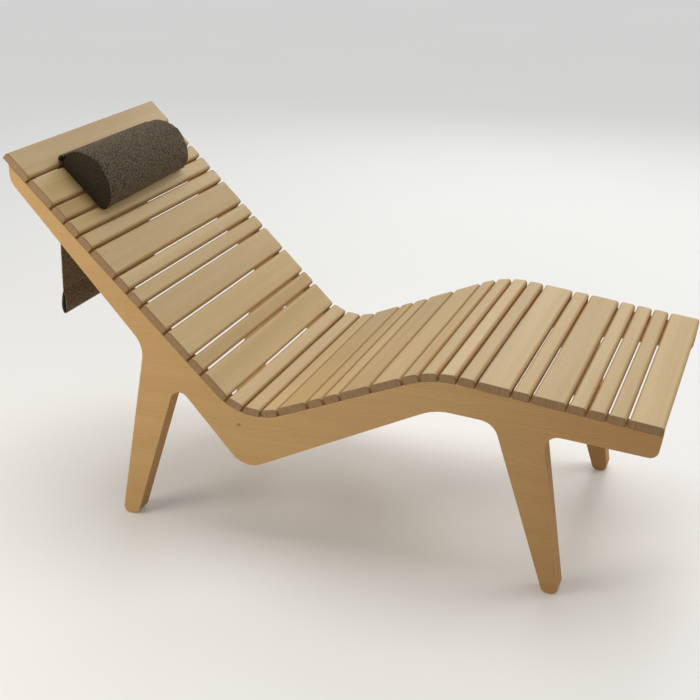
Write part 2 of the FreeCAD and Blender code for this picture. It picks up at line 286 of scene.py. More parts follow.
# Bands along edges: how far before the edge each starts and is full
OUTER_FACE_BAND = (0.0003, 0.0001)
SLAT_ROUNDING_BAND = (0.0075, 0.001)
SLAT_WALL_BOUNCE_BAND = (0.0018, 0.0003)
END_RIM_SHADE_BAND = (0.0028, 0.0021)
PANEL_EDGE_BAND = (0.0012, 0.0006)
PANEL_ARRIS_HIGHLIGHT_BAND = (0.0013, 0.0009)
# How much of each band's colour is mixed in; the slats' rounding, wall and end rim colours and the
# panels' arris colour are painted shade and light
SLAT_ROUNDING_SHADE_SHARE = 0.35
SLAT_WALL_BOUNCE_SHARE = 0.4
END_RIM_SHADE_SHARE = 0.75
PANEL_ARRIS_HIGHLIGHT_SHARE = 0.6
# What a rounded or sawn edge adds to the roughness
EDGE_ROUGHER = 0.3
# Angle in radians by which the slats' tones go round, and the move of their end grain
SHADE_STEP = 2.4
END_GRAIN_STEP = 0.7
END_GRAIN_BAND = (0.35, 0.8)


def before(edge, band):
    """Where a band before an edge starts and where it is full."""
    return edge - band[0], edge - band[1]


def slat_material(number, node):
    """Wood of one slat with its own board, tone and dark end grain, and painted shade and bounce
    light.
    """
    points = np.array([v.co for v in node.data.vertices])[:, [0, 2]]
    middle = points.mean(0)
    ways = np.linalg.eigh(np.cov((points - middle).T))[1]
    way = ways[:, 1] * (1 if ways[0, 1] > 0 else -1)
    tilt = math.atan2(way[1], way[0])
    reach = (points - middle) @ way
    half = (reach.max() - reach.min()) / 2
    centre = middle @ way + (reach.max() + reach.min()) / 2

    graph = Graph("slat_wood_%02d" % number)
    place = graph.place()
    local = graph.map(place, turn=(0, tilt, 0))
    shade = 0.5 + 0.5 * math.sin(number * SHADE_STEP)
    colour, height, fibre = grain(graph, local, number, between(SLAT_LIGHT, shade),
                                  between(SLAT_DARK, shade))
    # Painted shade darkens the rounded long edges, and painted bounce light warms the walls that
    # face the gaps
    from_middle = graph.math("SUBTRACT", graph.axes(local)[0], centre)
    from_middle = graph.math("ABSOLUTE", from_middle)
    rounded = graph.range(from_middle, *before(half, SLAT_ROUNDING_BAND))
    colour = graph.mix(graph.math("MULTIPLY", rounded, SLAT_ROUNDING_SHADE_SHARE), colour,
                       srgb(SLAT_ROUNDING_SHADE))
    # Painted bounce light on the gap walls
    painted_bounce = graph.range(from_middle, *before(half, SLAT_WALL_BOUNCE_BAND), to_high=SLAT_WALL_BOUNCE_SHARE)
    colour = graph.mix(painted_bounce, colour, srgb(SLAT_WALL_BOUNCE_LIGHT))
    # End grain, with painted shade as a dark rim on the four sides beside it
    depth = graph.math("ABSOLUTE", graph.axes(place)[1])
    upright = graph.map(local, scale=(1, 1, 0.05), move=(number * END_GRAIN_STEP, 0, 0))
    lines = graph.noise(upright, scale=480, roughness=0.6)
    pores = graph.noise(local, scale=2600, detail=1)
    end_share = graph.math("MULTIPLY_ADD", pores, 0.25, graph.math("MULTIPLY", lines, 0.85))
    end = graph.mix(graph.range(end_share, *END_GRAIN_BAND), srgb(END_GRAIN[0]),
                    srgb(END_GRAIN[1]))
    colour = graph.mix(graph.range(depth, *before(HALF_BED, OUTER_FACE_BAND)), colour, end)
    rim_shade = graph.math("MULTIPLY", graph.range(depth, *before(HALF_BED, END_RIM_SHADE_BAND)),
                     graph.range(depth, *before(HALF_BED, OUTER_FACE_BAND),
                                 to_low=END_RIM_SHADE_SHARE, to_high=0.0))
    colour = graph.mix(rim_shade, colour, srgb(END_RIM_SHADE))
    rough = graph.range(fibre, *FIBRE_BAND, to_low=0.42, to_high=0.56)
    rough = graph.math("MULTIPLY_ADD", rounded, EDGE_ROUGHER, rough)
    return graph.finish(Base_Color=colour, Roughness=rough,
                        Normal=graph.bump(height, 0.35, WOOD_RELIEF))


# Knot in the near panel: its place in x and z, its heart, and how the grain parts round it
KNOT = (-0.19175, 0.2935)
KNOT_HEART_BAND = (0.0015, 0.0065)
KNOT_HEART_SHARE = 0.7
KNOT_REACH = 0.02
KNOT_SHIFT = 0.012
KNOT_FALL_PER_SQUARE_METRE = 4000.0
# Slow waves of the panels' grain
WARP_STRETCH = (1, 0, 2.2)
WARP = 0.05
PANEL_PATCHES = 0.3
# Layers seen on the panels' edges, drawn out in x and z, and the glue line between them
LAYER_STRETCH = 0.08
GLUE_BAND = (0.0002, 0.0006)
GLUE_SHARE = 0.6
# Between these places in x the panels turn darker and browner: painted shade, partly a warmer tone
# of the wood
FOOT_END_TONE_AND_SHADE_BAND = (0.2, 0.75)


def panel_material(side, seed, knot=None):
    """Wood of a side panel: horizontal grain on its faces, the layers' glue line on its edges, a
    painted highlight on its arrises and painted shade at the foot end.
    """
    graph = Graph("panel_wood_" + side)
    place = graph.place()
    x, y, z = graph.axes(place)
    across = z
    if knot:
        from_knot = graph.node("VectorMath", "Value", {"operation": "DISTANCE"},
                               Vector=graph.vector(x, 0.0, z))
        from_knot.node.inputs[1].default_value = (knot[0], 0.0, knot[1])
        squared = graph.math("POWER", from_knot, 2.0)
        near = graph.math("MULTIPLY", squared, -KNOT_FALL_PER_SQUARE_METRE)
        near = graph.math("EXPONENT", near)
        shift = graph.range(z, knot[1] - KNOT_REACH, knot[1] + KNOT_REACH,
                            to_low=-KNOT_SHIFT, to_high=KNOT_SHIFT)
        across = graph.math("SUBTRACT", z, graph.math("MULTIPLY", near, shift))
    warp = graph.noise(graph.map(place, scale=WARP_STRETCH), scale=4.0)
    across = graph.math("MULTIPLY_ADD", warp, WARP, across)
    colour, height, fibre = grain(graph, graph.vector(across, x, y), seed, srgb(PANEL_FACE[0]),
                                  srgb(PANEL_FACE[1]), PANEL_PATCHES)
    if knot:
        heart = graph.range(from_knot, *KNOT_HEART_BAND, to_low=KNOT_HEART_SHARE, to_high=0.0)
        colour = graph.mix(heart, colour, srgb(KNOT_HEART))
    # Edges of the board, between its two faces
    depth = graph.math("ABSOLUTE", y)
    inner = HALF_BED - PANEL_THICKNESS
    on_edge = graph.math("MULTIPLY",
                         graph.range(depth, inner + PANEL_EDGE_BAND[1], inner + PANEL_EDGE_BAND[0]),
                         graph.range(depth, *before(HALF_BED, PANEL_EDGE_BAND),
                                     to_low=1.0, to_high=0.0))
    layers = graph.vector(graph.math("MULTIPLY", x, LAYER_STRETCH), y,
                          graph.math("MULTIPLY", z, LAYER_STRETCH))
    edge_lines = graph.noise(layers, scale=900, roughness=0.6)
    edge = graph.mix(edge_lines, srgb(PANEL_EDGE[0]), srgb(PANEL_EDGE[1]))
    from_glue = graph.math("SUBTRACT", depth, HALF_BED - PANEL_THICKNESS / 2)
    glue = graph.range(graph.math("ABSOLUTE", from_glue), *GLUE_BAND,
                       to_low=GLUE_SHARE, to_high=0.0)
    edge = graph.mix(glue, edge, srgb(GLUE_LINE))
    colour = graph.mix(on_edge, colour, edge)
    # Painted highlight: a light line on the arrises round the outer face
    arris_highlight = graph.math("MULTIPLY",
                       graph.range(depth, *before(HALF_BED, PANEL_ARRIS_HIGHLIGHT_BAND),
                                   to_high=PANEL_ARRIS_HIGHLIGHT_SHARE),
                       graph.range(depth, *before(HALF_BED, OUTER_FACE_BAND),
                                   to_low=1.0, to_high=0.0))
    colour = graph.mix(arris_highlight, colour, srgb(PANEL_ARRIS_HIGHLIGHT))
    # Painted shade: the board turns darker and browner towards the foot end, partly a warmer tone
    # of the wood
    browner_and_shaded = graph.mix(1.0, colour, srgb(PANEL_FOOT_END_TONE_AND_SHADE), "MULTIPLY")
    colour = graph.mix(graph.range(x, *FOOT_END_TONE_AND_SHADE_BAND), colour, browner_and_shaded)
    rough = graph.range(fibre, *FIBRE_BAND, to_low=0.4, to_high=0.55)
    rough = graph.math("MULTIPLY_ADD", on_edge, EDGE_ROUGHER, rough)
    return graph.finish(Base_Color=colour, Roughness=rough,
                        Normal=graph.bump(height, 0.3, WOOD_RELIEF))


def dowel_material():
    graph = Graph("dowel_wood")
    x, y, z = graph.axes(graph.place())
    colour, height, fibre = grain(graph, graph.vector(x, z, y), 7, srgb(DOWEL_WOOD[0]),
                                  srgb(DOWEL_WOOD[1]))
    rough = graph.range(fibre, *FIBRE_BAND, to_low=0.5, to_high=0.62)
    return graph.finish(Base_Color=colour, Roughness=rough,
                        Normal=graph.bump(height, 0.3, FINE_RELIEF))


def steel_material():
    graph = Graph("bar_steel", roughness=0.4)
    place = graph.place()
    brushed = graph.noise(graph.map(place, scale=(1, 0.02, 1)), scale=1800)
    spots = graph.noise(place, scale=60, detail=3)
    colour = graph.mix(spots, srgb(BAR_STEEL[0]), srgb(BAR_STEEL[1]))
    rough = graph.range(brushed, 0.3, 0.7, to_low=0.32, to_high=0.5)
    graph.shader.inputs["Metallic"].default_value = 1.0
    return graph.finish(Base_Color=colour, Roughness=rough,
                        Normal=graph.bump(brushed, 0.25, FINE_RELIEF))


# Looped weave: how far its cells are shaken, their form, and what makes up its tone, the painted
# shade in its hollows and its relief
WEAVE_WOBBLE = 0.0018
WEAVE_STRETCH = (1, 1.35, 1)
WEAVE_CELLS_PER_METRE = 240.0
LOOP_BAND = (0.1, 0.8)
LOOP_HOLLOW_SHADE_SHARE = 0.7
YARN_TONE_SHARE = 0.25
PATCH_TONE_SHARE = 0.12
WEAVE_TONE_BAND = (0.2, 1.0)
YARN_RELIEF_SHARE = 0.3
WEAVE_RELIEF = 0.0008


def fabric_material(name, yarn_tones):
    """Coarse looped weave: small lumps of yarn, with painted shade darkening the hollows between
    them.
    """
    graph = Graph(name, roughness=0.95)
    place = graph.place()
    wobble = graph.node("TexNoise", "Color", Vector=place, Scale=330.0, Detail=1.0)
    shifted = graph.node("VectorMath", "Vector", {"operation": "MULTIPLY_ADD"})
    factor, amount, base = shifted.node.inputs[:3]
    graph.put(factor, wobble)
    graph.put(amount, (WEAVE_WOBBLE, WEAVE_WOBBLE, WEAVE_WOBBLE))
    graph.put(base, place)
    cells = graph.node("TexVoronoi", "Distance", Vector=graph.map(shifted, scale=WEAVE_STRETCH),
                       Scale=WEAVE_CELLS_PER_METRE)
    loops = graph.range(cells, *LOOP_BAND, to_low=1.0, to_high=0.0)
    yarn = graph.noise(place, scale=1500, roughness=0.6)
    patches = graph.noise(place, scale=120)
    # Painted shade: the hollows between the loops are darker
    share = graph.math("MULTIPLY_ADD", loops, LOOP_HOLLOW_SHADE_SHARE,
                       graph.math("MULTIPLY", yarn, YARN_TONE_SHARE))
    share = graph.math("MULTIPLY_ADD", patches, PATCH_TONE_SHARE, share)
    light, dark = (srgb(code) for code in yarn_tones)
    colour = graph.mix(graph.range(share, *WEAVE_TONE_BAND), dark, light)
    height = graph.math("ADD", loops, graph.math("MULTIPLY", yarn, YARN_RELIEF_SHARE))
    graph.shader.inputs["Sheen Weight"].default_value = 0.25
    graph.shader.inputs["Sheen Roughness"].default_value = 0.5
    graph.shader.inputs["Sheen Tint"].default_value = srgb(YARN_SHEEN)
    graph.shader.inputs["Specular IOR Level"].default_value = 0.2
    return graph.finish(Base_Color=colour, Normal=graph.bump(height, 0.9, WEAVE_RELIEF))


def dress(node_name, material):
    """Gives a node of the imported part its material."""
    nodes[node_name].data.materials.clear()
    nodes[node_name].data.materials.append(material)


dress("side_panel_near", panel_material("near", 3, KNOT))
dress("side_panel_far", panel_material("far", 11))
for number in range(1, SLAT_COUNT + 1):
    name = "slat_%02d" % number
    dress(name, slat_material(number, nodes[name]))
dowel_wood = dowel_material()
dress("slat_dowels_near", dowel_wood)
dress("slat_dowels_far", dowel_wood)
dress("counterweight_bar", steel_material())
fabric = fabric_material("looped_fabric", COVER_YARN)
# The end caps get a darker copy of the same fabric: painted shade
end_fabric_shaded = fabric_material("looped_fabric_end_shaded", COVER_END_SHADED_YARN)
# The flap and its hem get a lighter copy of the same fabric: painted light
hanging_fabric_lit = fabric_material("looped_fabric_flap_lit", FLAP_YARN_PAINTED_LIGHT)


# Meshes

# Size of the yarn's loops
LOOP_SIZE = 0.0046


def arc_points(first, middle, last, count):
    """Points on the circle through three points, from the first up to but without the last."""
    a, b, c = (np.array(p, float) for p in (first, middle, last))
    rows = np.array([b - a, c - a])
    centre = np.linalg.solve(rows, (rows ** 2).sum(1) / 2) + a
    radius = np.linalg.norm(a - centre)
    start, through, end = (math.atan2(*(p - centre)[::-1]) for p in (a, b, c))
    turn = (end - start) % math.tau
    if (through - start) % math.tau > turn:
        turn -= math.tau
    angles = start + turn * np.arange(count) / count
    return centre + radius * np.c_[np.cos(angles), np.sin(angles)]


def make_object(name, points, faces, materials):
    """Smoothly shaded object in the scene."""
    mesh = bpy.data.meshes.new(name)
    mesh.from_pydata([tuple(p) for p in points], [], faces)
    mesh.validate()
    mesh.polygons.foreach_set("use_smooth", [True] * len(mesh.polygons))
    for material in materials:
        mesh.materials.append(material)
    made = bpy.data.objects.new(name, mesh)
    scene.collection.objects.link(made)
    return made


def loop_faces(rings, count):
    """Quads between rings of the same number of points, each ring closed."""
    return [(r * count + i, r * count + (i + 1) % count,
             (r + 1) * count + (i + 1) % count, (r + 1) * count + i)
            for r in range(rings - 1) for i in range(count)]


def points_of(obj):
    co = np.empty(len(obj.data.vertices) * 3)
    obj.data.vertices.foreach_get("co", co)
    return co.reshape(-1, 3)


def set_points(obj, points):
    obj.data.vertices.foreach_set("co", np.asarray(points, np.float32).ravel())
    obj.data.update()


def normals_of(obj):
    normals = np.empty(len(obj.data.vertices) * 3)
    obj.data.vertex_normals.foreach_get("vector", normals)
    return normals.reshape(-1, 3)


def group_weights(obj, name):
    """Weight of every point in one of the object's groups, 0 outside it."""
    index = obj.vertex_groups[name].index
    weights = np.zeros(len(obj.data.vertices))
    for vertex in obj.data.vertices:
        for group in vertex.groups:
            if group.group == index:
                weights[vertex.index] = group.weight
    return weights


def subdivide(obj):
    """Replaces the object's mesh by a smoothly subdivided one."""
    modifier = obj.modifiers.new("subdivision", "SUBSURF")
    modifier.levels = 1
    modifier.boundary_smooth = "PRESERVE_CORNERS"
    graph = bpy.context.evaluated_depsgraph_get()
    mesh = bpy.data.meshes.new_from_object(obj.evaluated_get(graph), preserve_all_data_layers=True,
                                           depsgraph=graph)
    obj.modifiers.clear()
    obj.data = mesh


def lumps(points, seed):
    """Height from 0 to 1 of the yarn's loops at each point."""
    heights = np.empty(len(points))
    for index, point in enumerate(points):
        cell = noise.voronoi(Vector(point) / LOOP_SIZE + Vector((seed, 0.0, 0.0)))[0][0]
        heights[index] = max(0.0, 1.0 - cell)
    return heights


# Headrest

# Steps of the section's base and of its four arcs, and the place of its head-side seam
BASE_STEPS = 28
ARC_STEPS = (6, 28, 23, 6)
HEAD_SEAM = BASE_STEPS + sum(ARC_STEPS[:-1])
# The ends are caps that bulge a little, with rings that crowd towards their rim
CAP_INSET = 0.002
CAP_DOME = 0.004
CAP_CENTRE_SHARES = np.array([0.0, 0.42])
CAP_POLE_SHARE = 0.9
CAP_RINGS = 13
CAP_CROWDING = 1.15
CAP_TOLERANCE = 0.0001
SEAM_RING = 1
COVER_HALF = PILLOW_LENGTH / 2 - CAP_INSET
# Steps inwards from an end, and the number of equal ones from there to the middle
END_STEPS = [0.0, 0.0015, 0.004, 0.0075, 0.012, 0.017, 0.022]
MIDDLE_STEPS = 42
# The cover is drawn in towards its ends: places from an end, with shares of width and height
CROWN_PLACES = [0.0, 0.006, 0.018, 0.107, 0.215]
CROWN_WIDTH_SHARES = [0.98, 0.988, 0.992, 1.0, 1.0]
CROWN_HEIGHT_SHARES = [0.95, 0.965, 0.975, 0.99, 1.0]
# The far end of the headrest is a little flatter and narrower than the near one
FAR_END_SINK_SHARE = 0.07
FAR_END_NARROW_SHARE = 0.13
# Room left for the swell between the seams, and about the most that the cloth run may add
PUFF = 0.0028
SWELL_LIMIT = 0.0042
SWELL_FRAMES = 20
# Loops on the cover, which fade out where it lies on the slats, and its sunken seams
COVER_SEED = 3.0
LOOP_HEIGHT = 0.0008
LOOP_LEVEL_SHARE = 0.55
LOOPS_START = 0.002
LOOPS_RISE = 0.006
SEAM_DEPTH = 0.0012
COVER_BOTTOM = 0.0004


def section_points():
    """Closed section as shares of width and height, with the base first."""
    parts = [np.linspace(*SECTION_BASE_SHARES, BASE_STEPS + 1)[:-1]]
    parts += [arc_points(*corners, count) for corners, count in zip(SECTION_ARC_SHARES, ARC_STEPS)]
    return np.concatenate(parts)


def cover_ring(section, y, reach, scale=1.0):
    """Points round the cover at y, which lies this reach from its end. On a cap the ring is scaled
    about the cap's centre."""
    shares = CAP_CENTRE_SHARES + (section - CAP_CENTRE_SHARES) * scale
    width = (PILLOW_WIDTH - 2 * PUFF) * np.interp(reach, CROWN_PLACES, CROWN_WIDTH_SHARES)
    high = np.interp(reach, CROWN_PLACES, CROWN_HEIGHT_SHARES)
    # 0 at the near end and 1 at the far one
    far = 0.5 + y / (2 * COVER_HALF)
    height = (PILLOW_HEIGHT - PUFF) * high * (1 - FAR_END_SINK_SHARE * far)
    widths = width * np.where(shares[:, 0] > 0, 1 - FAR_END_NARROW_SHARE * far, 1.0)
    return [on_back(PILLOW_MIDDLE + w * a, FABRIC_CLEARANCE + height * b, y)
            for (a, b), w in zip(shares, widths)]


def cover_rings(section):
    """Rings from the near cap over the cover's length to the far cap."""
    reaches = END_STEPS + list(np.linspace(END_STEPS[-1], COVER_HALF, MIDDLE_STEPS + 1)[1:])
    places = [(-COVER_HALF + r, r) for r in reaches]
    places += [(COVER_HALF - r, r) for r in reversed(reaches[:-1])]
    scales = [1 - (r / CAP_RINGS) ** CAP_CROWDING for r in range(1, CAP_RINGS)]
    rings = [cover_ring(section, -COVER_HALF - CAP_DOME * (1 - scale ** 2), 0.0, scale)
             for scale in reversed(scales)]
    rings += [cover_ring(section, y, reach) for y, reach in places]
    rings += [cover_ring(section, COVER_HALF + CAP_DOME * (1 - scale ** 2), 0.0, scale)
              for scale in scales]
    return rings


def hold_seams(cover, rings, count):
    """Groups of points: the seams round both ends and along the head side, and these with the
    base, which all stay in place while the cover swells."""
    caps = CAP_RINGS - 1
    body = range(caps, rings - caps)
    held = {r * count + HEAD_SEAM for r in body}
    for r in (caps - SEAM_RING, rings - 1 - caps + SEAM_RING):
        held.update(range(r * count, (r + 1) * count))
    base = {r * count + i for r in body for i in range(BASE_STEPS + 1)}
    cover.vertex_groups.new(name="seam").add(sorted(held), 1.0, "REPLACE")
    cover.vertex_groups.new(name="pin").add(sorted(held | base), 1.0, "REPLACE")


def make_cover():
    """The headrest's cover before it swells."""
    section = section_points()
    rings = cover_rings(section)
    count = len(section)
    points = [p for one in rings for p in one]
    faces = loop_faces(len(rings), count)
    for end, sign in ((0, -1), (len(rings) - 1, 1)):
        points.append(on_back(PILLOW_MIDDLE + PILLOW_WIDTH * CAP_CENTRE_SHARES[0],
                              PILLOW_HEIGHT * CAP_CENTRE_SHARES[1] * CAP_POLE_SHARE,
                              sign * (COVER_HALF + CAP_DOME)))
        for i in range(count):
            pair = (end * count + i, end * count + (i + 1) % count)
            faces.append((len(points) - 1,) + (pair if sign > 0 else pair[::-1]))
    faces = [face[::-1] for face in faces]
    cover = make_object("headrest_pillow", points, faces, [fabric, end_fabric_shaded])
    # Faces on the caps take the darker copy of the fabric, painted shade
    for polygon in cover.data.polygons:
        polygon.material_index = int(abs(polygon.center[1]) > COVER_HALF + CAP_TOLERANCE)
    hold_seams(cover, len(rings), count)
    return cover


def swell(cover):
    """Blows the cover up like a stuffed one: a short cloth run with pressure, its seams held."""
    rest = points_of(cover)
    cloth = cover.modifiers.new("cloth", "CLOTH")
    cloth.settings.use_pressure = True
    cloth.settings.uniform_pressure_force = 4.0
    cloth.settings.effector_weights.gravity = 0.0
    cloth.settings.vertex_group_mass = "pin"
    cloth.settings.quality = 6
    cloth.point_cache.frame_end = SWELL_FRAMES
    for number in range(1, SWELL_FRAMES + 1):
        scene.frame_set(number)
    evaluated = cover.evaluated_get(bpy.context.evaluated_depsgraph_get())
    moved = np.array([v.co for v in evaluated.data.vertices]) - rest
    reach = np.linalg.norm(moved, axis=1)
    share = SWELL_LIMIT * np.tanh(reach / SWELL_LIMIT) / np.maximum(reach, 1e-9)
    cover.modifiers.clear()
    scene.frame_set(1)
    set_points(cover, rest + moved * share[:, None])


def add_loops(cover):
    """Raises the yarn's loops, sinks the seams and keeps the cover off the slats."""
    weights = group_weights(cover, "seam")
    points = points_of(cover)
    height = (points - BACK_TOP) @ UP
    free = np.clip((height - LOOPS_START) / LOOPS_RISE, 0, 1)
    raised = (lumps(points, COVER_SEED) - LOOP_LEVEL_SHARE) * LOOP_HEIGHT * free
    points += normals_of(cover) * (raised - weights ** 2 * SEAM_DEPTH)[:, None]
    height = (points - BACK_TOP) @ UP
    points += np.maximum(COVER_BOTTOM - height, 0)[:, None] * UP
    set_points(cover, points)


pillow = make_cover()
swell(pillow)
subdivide(pillow)
add_loops(pillow)
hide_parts("headrest_cover", "headrest_foam")
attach(pillow, "headrest")


# Strap and flap

# Both are a little thinner than their solids, and their loops are pressed into them
BAND_THICKNESS = STRAP_THICKNESS - 0.0004
LOOP_PRESS = 0.0005
# Steps round the side edges of a band
SIDE_STEPS = 5
STRAP_SPACING = 0.003
FLAP_SPACING = 0.0035
# Steps of the strap's arcs and of its straight stretch
BULGE_STEPS = 8
SWING_STEPS = 10
GAP_STEPS = 8
WRAP_STEPS = 6
FLAP_ROWS = 90
# Waves of the hanging flap: height, radians in a metre of its width, and start in radians
LONG_WAVE = (0.0022, 21, 0.6)
SHORT_WAVE = (0.0008, 47, 2.1)
# Radians by which the short wave goes on from the flap's top to its foot
SHORT_WAVE_TURN = 1.4
FLAP_LEAN = 0.0015
STRAP_SEED = 5.0
FLAP_SEED = 9.0


def band(name, path, normals, half_widths, spacing, material):
    """Closed flat band along a path in the plane y = 0, with round side edges."""
    columns = int(round(2 * half_widths[0] / spacing))
    angles = [math.pi * k / SIDE_STEPS for k in range(1, SIDE_STEPS)]
    across = np.linspace(1, -1, columns + 1)
    ring = [(a, -1.0, 0.0) for a in across]
    ring += [(-1.0, -math.cos(angle), -math.sin(angle)) for angle in angles]
    ring += [(-a, 1.0, 0.0) for a in across]
    ring += [(1.0, math.cos(angle), math.sin(angle)) for angle in angles]
    points = []
    radius = BAND_THICKNESS / 2
    for place, normal, half in zip(path, normals, half_widths):
        for share, through, beyond in ring:
            y = share * (half - radius) + beyond * radius
            points.append(place + normal * through * radius + ACROSS * y)
    count = len(ring)
    faces = loop_faces(len(path), count)
    # Both ends: quads between the two sides of the band, and one face for each rounded side edge
    opposite = 2 * columns + SIDE_STEPS
    for start, order in ((0, 1), ((len(path) - 1) * count, -1)):
        for i in range(columns):
            back = opposite - i
            faces.append((start + i, start + back, start + back - 1, start + i + 1)[::order])
        edge = range(SIDE_STEPS + 1)
        faces.append(tuple(start + columns + k for k in edge)[::order])
        faces.append(tuple(start + (opposite + k) % count for k in edge)[::order])
    return make_object(name, points, faces, [material])


def curve_path(parts):
    """Points of a line given as arcs and straight stretches, each with its steps."""
    line = []
    for part, count in parts:
        if len(part) == 3:
            line += list(arc_points(*part, count))
        else:
            line += list(np.linspace(part[0], part[1], count + 1)[:-1])
    line.append(np.array(parts[-1][0][-1]))
    return np.array(line)


def across_line(line):
    """Unit normals of a line in the plane."""
    steps = np.gradient(line, axis=0)
    steps /= np.linalg.norm(steps, axis=1)[:, None]
    return np.c_[-steps[:, 1], steps[:, 0]]


# The strap leaves the seam, turns over its bulge, swings down into the gap and bends round slat 2
bulge = STRAP_SEAM - (0, STRAP_BULGE)
swing_radius = (STRAP_WALL - STRAP_SEAM[0] + STRAP_BULGE) / 2
swing = bulge + (swing_radius - STRAP_BULGE, 0)
dip = swing - (0, 2 * swing_radius)
wrap = np.array([SECOND_SLAT + SLAT_BOTTOM_RADIUS, SLAT_BOTTOM_RADIUS - SLAT_THICKNESS])
wrap_start = wrap - (WRAP_RADIUS, 0)
diagonal = math.sqrt(0.5)
slant = np.array([diagonal, diagonal])
to_hang = np.array([-math.cos(BACK_ANGLE), -math.sin(BACK_ANGLE)])
half_way = to_hang + (-1, 0)
half_way /= np.linalg.norm(half_way)
strap_line = curve_path([
    ((STRAP_SEAM, bulge + STRAP_BULGE * slant * (-1, 1), bulge - (STRAP_BULGE, 0)), BULGE_STEPS),
    ((swing - (swing_radius, 0), swing - swing_radius * slant, swing - (0, swing_radius)),
     SWING_STEPS),
    ((dip + (0, swing_radius), dip + swing_radius * slant, dip + (swing_radius, 0)), SWING_STEPS),
    ((dip + (swing_radius, 0), wrap_start), GAP_STEPS),
    ((wrap_start, wrap + WRAP_RADIUS * half_way, wrap + WRAP_RADIUS * to_hang), WRAP_STEPS),
])
strap_path = [on_back(a, b) for a, b in strap_line]
strap_normals = [ALONG * a + UP * b for a, b in across_line(strap_line)]
strap = band("headrest_strap_fabric", strap_path, strap_normals,
             [PILLOW_LENGTH / 2] * len(strap_path), STRAP_SPACING, fabric)

# Where the flap starts to hang, at the end of the bend
HANG = on_back(*(wrap + WRAP_RADIUS * to_hang))
downs = np.linspace(0, FLAP_LENGTH, FLAP_ROWS)
flare = (POCKET_LENGTH - PILLOW_LENGTH) / 2
# The flap takes the lighter copy of the fabric, painted light
flap = band("counterweight_flap_fabric", [HANG - (0, 0, d) for d in downs],
            [np.array([1.0, 0.0, 0.0])] * FLAP_ROWS,
            [PILLOW_LENGTH / 2 + flare * d / FLAP_LENGTH for d in downs],
            FLAP_SPACING, hanging_fabric_lit)


def hang_softly(obj):
    """Shallow waves of hanging cloth, none at the strap and none at the bar."""
    points = points_of(obj)
    down = np.clip((HANG[2] - points[:, 2]) / FLAP_LENGTH, 0, 1)
    y = points[:, 1]
    height, turns, start = LONG_WAVE
    wave = np.sin(y * turns + start) * height
    height, turns, start = SHORT_WAVE
    wave += np.sin(y * turns + start + down * SHORT_WAVE_TURN) * height
    points[:, 0] += (wave - FLAP_LEAN) * np.sin(math.pi * down)
    set_points(obj, points)


def roughen(obj, seed):
    """Presses the hollows between the yarn's loops into a cloth's surface."""
    points = points_of(obj)
    points -= normals_of(obj) * ((1 - lumps(points, seed)) * LOOP_PRESS)[:, None]
    set_points(obj, points)


hang_softly(flap)
roughen(strap, STRAP_SEED)
roughen(flap, FLAP_SEED)
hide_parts("headrest_strap")
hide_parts("counterweight_flap")
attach(flap, "frame")
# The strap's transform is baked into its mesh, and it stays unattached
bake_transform(strap)


# Hem pocket

# Points and steps of its outline, in shares of its half width and height
POCKET_NECK_SHARES = (0.8, 0.62)
POCKET_WIDEST_SHARES = (1.0, 0.3)
POCKET_FOOT_SHARES = (0.8, 0.14)
POCKET_STEPS = (16, 8, 4)
POCKET_COLUMNS = 140
# Its cut ends are rounded: at these shares of the rounding and of the layer's thickness
HEM_ROUNDING = 0.0007
TIP_SHARE = 0.4
TIP_THICKNESS_SHARE = 0.9
CUT_THICKNESS_SHARE = 0.6
POCKET_SEED = 13.0
HEM_LOOP_PRESS = 0.0004


def pocket_line(height, half, foot_z, heel):
    """Drop-shaped outline of the hem in x and z, from its top round its heel and back."""
    foot = np.array([HANG[0], foot_z])
    top = foot + (0, height)
    heel_centre = foot + (0, heel)

    def at(side, wide, high):
        return foot + (half * wide * side, height * high)

    parts = []
    for side in (-1, 1):
        widest = at(side, *POCKET_WIDEST_SHARES)
        low = heel_centre + (heel * side, 0)
        heel_middle = heel_centre + heel * diagonal * np.array([side, -1])
        down = [(top, at(side, *POCKET_NECK_SHARES), widest),
                (widest, at(side, *POCKET_FOOT_SHARES), low),
                (low, heel_middle, foot)]
        down = list(zip(down, POCKET_STEPS))
        if side > 0:
            down = [(part[::-1], count) for part, count in reversed(down)]
        parts += down
    return np.concatenate([arc_points(*part, count) for part, count in parts])


